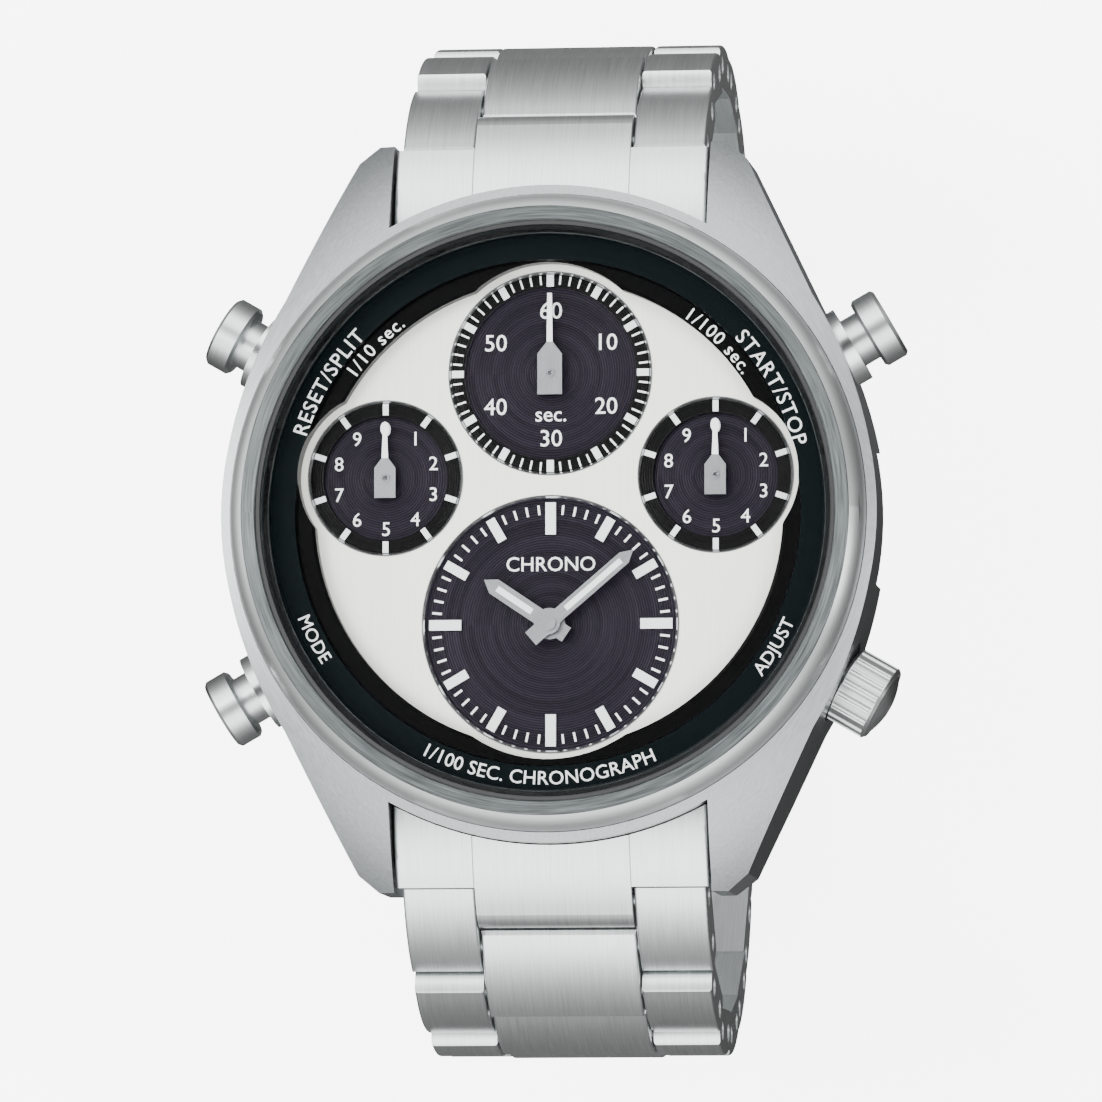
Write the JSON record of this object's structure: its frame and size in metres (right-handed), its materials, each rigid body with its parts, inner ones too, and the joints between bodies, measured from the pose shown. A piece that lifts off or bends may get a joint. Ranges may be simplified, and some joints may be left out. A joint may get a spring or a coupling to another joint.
{
  "type": "chronograph wristwatch",
  "caption": "Round steel chronograph wristwatch with a white dial, black sub-dials, three pushers, a crown and a folding-clasp steel bracelet.",
  "frame": {"origin": "centre of the caseback's outer face", "axes": "+Z out of the dial, +Y to 12 o'clock, +X to 3 o'clock"},
  "size_m": [0.0454, 0.0664, 0.0515],
  "materials": {
    "brushed_case_steel": "brushed",
    "bezel_steel": "circular brushed",
    "polished_steel": "polished",
    "link_steel": "lengthwise brushed",
    "clasp_steel": "brushed",
    "sapphire": "polished",
    "gasket_rubber": "matt",
    "nylon_gasket": "matt",
    "white_dial": "satin",
    "black_flange": "satin",
    "black_subdial": "fine circular grooves",
    "rim_steel": "polished",
    "lume": "matt",
    "hand_steel": "brushed",
    "brass_wheel": "machined",
    "movement_plastic": "moulded",
    "plated_brass": "nickel plated",
    "coil_copper": "wound enamelled wire",
    "board_laminate": "laminate",
    "cell_steel": "pressed",
    "stem_steel": "turned"
  },
  "bodies": {
    "head": {"case_middle": "brushed_case_steel", "case_tubes": "polished_steel", "bezel": "bezel_steel", "crystal": "sapphire", "crystal_gasket": "nylon_gasket", "caseback": "brushed_case_steel", "caseback_gasket": "gasket_rubber", "dial_plate": "white_dial", "dial_flange": "black_flange", "seconds_subdial": "black_subdial", "tenths_subdial": "black_subdial", "hundredths_subdial": "black_subdial", "time_subdial": "black_subdial", "subdial_rims": "rim_steel", "subdial_markers": "lume", "movement_ring": "movement_plastic", "main_plate": "plated_brass", "stepping_motors": "coil_copper", "train_bridge": "plated_brass", "circuit_board": "board_laminate", "button_cell": "cell_steel", "end_link_12": "link_steel", "end_link_6": "link_steel", "lug_spring_bars": "stem_steel"},
    "hour_hand": {"hour_hand": "hand_steel", "hour_wheel": "brass_wheel"},
    "minute_hand": {"minute_hand": "hand_steel", "cannon_pinion": "brass_wheel"},
    "minute_wheel": {"minute_wheel": "brass_wheel"},
    "seconds_hand": {"seconds_hand": "hand_steel", "seconds_wheel": "brass_wheel"},
    "tenths_hand": {"tenths_hand": "hand_steel", "tenths_wheel": "brass_wheel"},
    "hundredths_hand": {"hundredths_hand": "hand_steel", "hundredths_wheel": "brass_wheel"},
    "pusher_start": {"pusher_start": "polished_steel"},
    "pusher_reset": {"pusher_reset": "polished_steel"},
    "pusher_mode": {"pusher_mode": "polished_steel"},
    "setting_lever": {"setting_lever": "stem_steel"},
    "crown": {"crown": "polished_steel", "winding_stem": "stem_steel"},
    "link_12_1": {"link_12_1": "link_steel"},
    "link_12_2": {"link_12_2": "link_steel"},
    "link_12_3": {"link_12_3": "link_steel"},
    "link_12_4": {"link_12_4": "link_steel"},
    "link_12_5": {"link_12_5": "link_steel"},
    "link_12_6": {"link_12_6": "link_steel"},
    "link_6_1": {"link_6_1": "link_steel"},
    "link_6_2": {"link_6_2": "link_steel"},
    "link_6_3": {"link_6_3": "link_steel"},
    "link_6_4": {"link_6_4": "link_steel"},
    "link_6_5": {"link_6_5": "link_steel"},
    "link_6_6": {"link_6_6": "link_steel", "clasp_spring_bar": "stem_steel"},
    "clasp_inner_blade": {"clasp_inner_blade": "clasp_steel"},
    "clasp_middle_blade": {"clasp_middle_blade": "clasp_steel"},
    "clasp_cover": {"clasp_cover": "clasp_steel"},
    "clasp_button_left": {"clasp_button_left": "polished_steel"},
    "clasp_button_right": {"clasp_button_right": "polished_steel"}
  },
  "joints": [
    {"name": "minute_hand_spin", "type": "hinge", "parent": "head", "child": "minute_hand", "pos_m": [0, -0.007, 0.009], "axis": [0, 0, -1], "continuous": true},
    {"name": "hour_hand_spin", "type": "hinge", "parent": "head", "child": "hour_hand", "pos_m": [0, -0.007, 0.009], "axis": [0, 0, -1], "continuous": true},
    {"name": "minute_wheel_spin", "type": "hinge", "parent": "head", "child": "minute_wheel", "pos_m": [0.0024, -0.007, 0.007], "axis": [0, 0, -1], "continuous": true},
    {"name": "seconds_hand_spin", "type": "hinge", "parent": "head", "child": "seconds_hand", "pos_m": [0, 0.00907, 0.009], "axis": [0, 0, -1], "continuous": true},
    {"name": "tenths_hand_spin", "type": "hinge", "parent": "head", "child": "tenths_hand", "pos_m": [-0.0106, 0.00245, 0.009], "axis": [0, 0, -1], "continuous": true},
    {"name": "hundredths_hand_spin", "type": "hinge", "parent": "head", "child": "hundredths_hand", "pos_m": [0.0106, 0.00245, 0.009], "axis": [0, 0, -1], "continuous": true},
    {"name": "pusher_start_press", "type": "slide", "parent": "head", "child": "pusher_start", "axis": [-0.866, -0.5, 0], "range_m": [0, 0.0009], "stiffness_N_per_m": 600, "springref_m": -0.0015},
    {"name": "pusher_reset_press", "type": "slide", "parent": "head", "child": "pusher_reset", "axis": [0.866, -0.5, 0], "range_m": [0, 0.0009], "stiffness_N_per_m": 600, "springref_m": -0.0015},
    {"name": "pusher_mode_press", "type": "slide", "parent": "head", "child": "pusher_mode", "axis": [0.866, 0.5, 0], "range_m": [0, 0.0009], "stiffness_N_per_m": 600, "springref_m": -0.0015},
    {"name": "crown_pull", "type": "slide", "parent": "head", "child": "setting_lever", "axis": [0.866, -0.5, 0], "range_m": [0, 0.001]},
    {"name": "crown_turn", "type": "hinge", "parent": "setting_lever", "child": "crown", "pos_m": [0.01992, -0.0115, 0.006], "axis": [0.866, -0.5, 0], "continuous": true},
    {"name": "link_12_1_hinge", "type": "hinge", "parent": "head", "child": "link_12_1", "pos_m": [0, 0.0243, 0.0051], "axis": [1, 0, 0], "range_deg": [0, 30]},
    {"name": "link_12_2_hinge", "type": "hinge", "parent": "link_12_1", "child": "link_12_2", "pos_m": [0, 0.02906, -0.00057], "axis": [1, 0, 0], "range_deg": [0, 24]},
    {"name": "link_12_3_hinge", "type": "hinge", "parent": "link_12_2", "child": "link_12_3", "pos_m": [0, 0.0311, -0.00768], "axis": [1, 0, 0], "range_deg": [0, 16]},
    {"name": "link_12_4_hinge", "type": "hinge", "parent": "link_12_3", "child": "link_12_4", "pos_m": [0, 0.0311, -0.01508], "axis": [1, 0, 0], "range_deg": [0, 16]},
    {"name": "link_12_5_hinge", "type": "hinge", "parent": "link_12_4", "child": "link_12_5", "pos_m": [0, 0.02906, -0.0222], "axis": [1, 0, 0], "range_deg": [0, 16]},
    {"name": "link_12_6_hinge", "type": "hinge", "parent": "link_12_5", "child": "link_12_6", "pos_m": [0, 0.02514, -0.02847], "axis": [1, 0, 0], "range_deg": [0, 17]},
    {"name": "link_6_1_hinge", "type": "hinge", "parent": "head", "child": "link_6_1", "pos_m": [0, -0.0243, 0.0051], "axis": [-1, 0, 0], "range_deg": [0, 24]},
    {"name": "link_6_2_hinge", "type": "hinge", "parent": "link_6_1", "child": "link_6_2", "pos_m": [0, -0.0298, 0.00015], "axis": [-1, 0, 0], "range_deg": [0, 28]},
    {"name": "link_6_3_hinge", "type": "hinge", "parent": "link_6_2", "child": "link_6_3", "pos_m": [0, -0.03233, -0.00681], "axis": [-1, 0, 0], "range_deg": [0, 20]},
    {"name": "link_6_4_hinge", "type": "hinge", "parent": "link_6_3", "child": "link_6_4", "pos_m": [0, -0.03233, -0.01421], "axis": [-1, 0, 0], "range_deg": [0, 16]},
    {"name": "link_6_5_hinge", "type": "hinge", "parent": "link_6_4", "child": "link_6_5", "pos_m": [0, -0.03029, -0.02132], "axis": [-1, 0, 0], "range_deg": [0, 16]},
    {"name": "link_6_6_hinge", "type": "hinge", "parent": "link_6_5", "child": "link_6_6", "pos_m": [0, -0.02637, -0.02759], "axis": [-1, 0, 0], "range_deg": [0, 17]},
    {"name": "clasp_end_hinge", "type": "hinge", "parent": "link_12_6", "child": "clasp_inner_blade", "pos_m": [0, 0.01955, -0.03333], "axis": [1, 0, 0], "range_deg": [0, 18]},
    {"name": "clasp_fold", "type": "hinge", "parent": "clasp_inner_blade", "child": "clasp_middle_blade", "pos_m": [0, -0.01439, -0.03368], "axis": [-1, 0, 0], "range_deg": [0, 80]},
    {"name": "clasp_cover_fold", "type": "hinge", "parent": "clasp_middle_blade", "child": "clasp_cover", "pos_m": [0, 0.01374, -0.03479], "axis": [1, 0, 0], "range_deg": [0, 80]},
    {"name": "clasp_button_right_press", "type": "slide", "parent": "clasp_cover", "child": "clasp_button_right", "axis": [-1, 0, 0], "range_m": [0, 0.0006], "stiffness_N_per_m": 400, "springref_m": -0.001},
    {"name": "clasp_button_left_press", "type": "slide", "parent": "clasp_cover", "child": "clasp_button_left", "axis": [1, 0, 0], "range_m": [0, 0.0006], "stiffness_N_per_m": 400, "springref_m": -0.001}
  ],
  "couplings": [
    {"joint": "hour_hand_spin", "follows": "minute_hand_spin", "ratio": 0.083333},
    {"joint": "minute_wheel_spin", "follows": "minute_hand_spin", "ratio": -0.33333},
    {"joint": "link_12_2_hinge", "follows": "link_12_1_hinge", "ratio": 0.8},
    {"joint": "link_12_3_hinge", "follows": "link_12_1_hinge", "ratio": 0.53333},
    {"joint": "link_12_4_hinge", "follows": "link_12_1_hinge", "ratio": 0.53333},
    {"joint": "link_12_5_hinge", "follows": "link_12_1_hinge", "ratio": 0.53333},
    {"joint": "link_12_6_hinge", "follows": "link_12_1_hinge", "ratio": 0.56667},
    {"joint": "link_6_2_hinge", "follows": "link_6_1_hinge", "ratio": 1.1667},
    {"joint": "link_6_3_hinge", "follows": "link_6_1_hinge", "ratio": 0.83333},
    {"joint": "link_6_4_hinge", "follows": "link_6_1_hinge", "ratio": 0.66667},
    {"joint": "link_6_5_hinge", "follows": "link_6_1_hinge", "ratio": 0.66667},
    {"joint": "link_6_6_hinge", "follows": "link_6_1_hinge", "ratio": 0.70833},
    {"joint": "clasp_end_hinge", "follows": "link_12_1_hinge", "ratio": 0.6},
    {"joint": "clasp_cover_fold", "follows": "clasp_fold", "ratio": 1}
  ]
}
